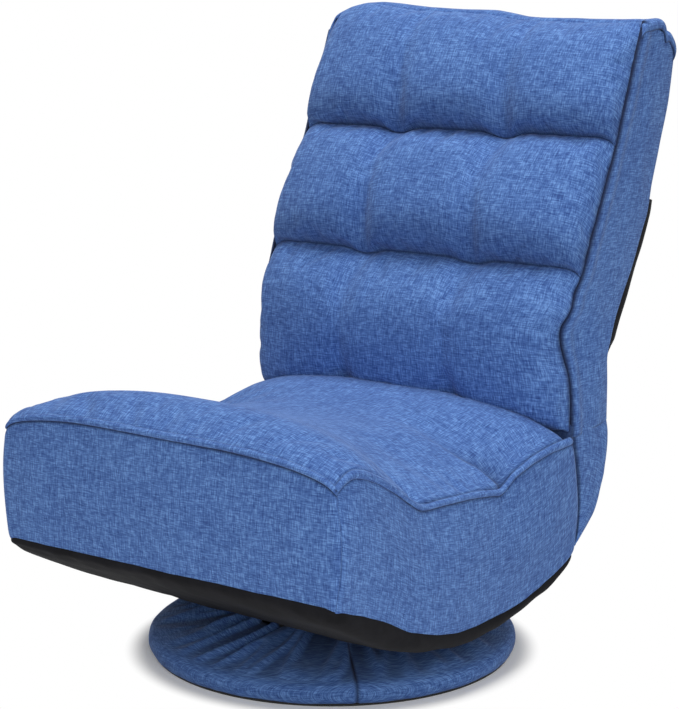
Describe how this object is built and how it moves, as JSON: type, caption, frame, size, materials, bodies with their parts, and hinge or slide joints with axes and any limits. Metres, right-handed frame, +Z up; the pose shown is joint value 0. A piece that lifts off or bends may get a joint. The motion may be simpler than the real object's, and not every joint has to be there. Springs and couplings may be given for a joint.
{
  "type": "swivel floor chair",
  "caption": "Low padded floor chair with a channelled reclining back on ratchet hinges, a dished seat and a round cloth-covered swivel base.",
  "frame": {"origin": "floor under the swivel axis", "axes": "+Z up along the swivel axis, chair faces -Y, X across its width"},
  "size_m": [0.51, 0.7132, 0.7915],
  "materials": {
    "blue_weave": "heathered blue woven polyester over padding",
    "black_nonwoven": "matte black non-woven cloth",
    "foam": "open-cell polyurethane foam",
    "webbing": "woven polypropylene sling",
    "painted_tube": "black powder-coated steel",
    "zinc_steel": "zinc-plated pressed steel",
    "foot_rubber": "matte non-slip rubber"
  },
  "bodies": {
    "base": {"base_foot_ring": "foot_rubber", "base_ring": "painted_tube", "base_spokes": "painted_tube", "base_hub_plate": "painted_tube", "base_cover": "blue_weave", "base_bottom_cloth": "black_nonwoven", "swivel_lower_plate": "zinc_steel", "swivel_rivet": "zinc_steel", "base_bolts": "zinc_steel"},
    "ball_ring": {"swivel_balls": "zinc_steel", "swivel_ball_cage": "zinc_steel"},
    "pawl_left": {"pawl_left": "zinc_steel"},
    "pawl_right": {"pawl_right": "zinc_steel"},
    "backrest": {"ratchet_plates": "zinc_steel", "back_dust_cover": "black_nonwoven", "back_foam": "foam", "back_frame": "painted_tube", "back_rear_panel": "blue_weave", "back_roll_lower": "blue_weave", "back_roll_middle": "blue_weave", "back_roll_upper": "blue_weave", "back_side_panel_left": "blue_weave", "back_side_panel_right": "blue_weave", "back_sling": "webbing", "back_top_panel": "blue_weave"},
    "seat": {"hinge_cheeks": "zinc_steel", "hinge_rivets": "zinc_steel", "hinge_spacers": "zinc_steel", "pawl_rivets": "zinc_steel", "pawl_springs": "zinc_steel", "rear_gusset": "blue_weave", "seat_bolts": "zinc_steel", "seat_bottom_cover": "black_nonwoven", "seat_cross_bars": "painted_tube", "seat_cushion": "blue_weave", "seat_foam": "foam", "seat_frame": "painted_tube", "seat_front_panel": "blue_weave", "seat_mount_plate": "painted_tube", "seat_side_panel_left": "blue_weave", "seat_side_panel_right": "blue_weave", "seat_sling": "webbing", "swivel_upper_plate": "zinc_steel"}
  },
  "joints": [
    {"name": "swivel", "type": "hinge", "parent": "base", "child": "seat", "pos_m": [0, 0, 0], "axis": [0, 0, 1], "continuous": true},
    {"name": "ball_roll", "type": "hinge", "parent": "base", "child": "ball_ring", "pos_m": [0, 0, 0], "axis": [0, 0, 1], "continuous": true},
    {"name": "recline", "type": "hinge", "parent": "seat", "child": "backrest", "pos_m": [0, 0.194, 0.25], "axis": [-1, 0, 0], "range_deg": [-8, 64], "deforming": ["rear_gusset"]},
    {"name": "pawl_left_swing", "type": "hinge", "parent": "seat", "child": "pawl_left", "pos_m": [-0.215, 0.159, 0.2186], "axis": [1, 0, 0], "range_deg": [0, 8]},
    {"name": "pawl_right_swing", "type": "hinge", "parent": "seat", "child": "pawl_right", "pos_m": [0.215, 0.159, 0.2186], "axis": [1, 0, 0], "range_deg": [0, 8]}
  ],
  "couplings": [
    {"joint": "ball_roll", "follows": "swivel", "ratio": 0.5}
  ]
}
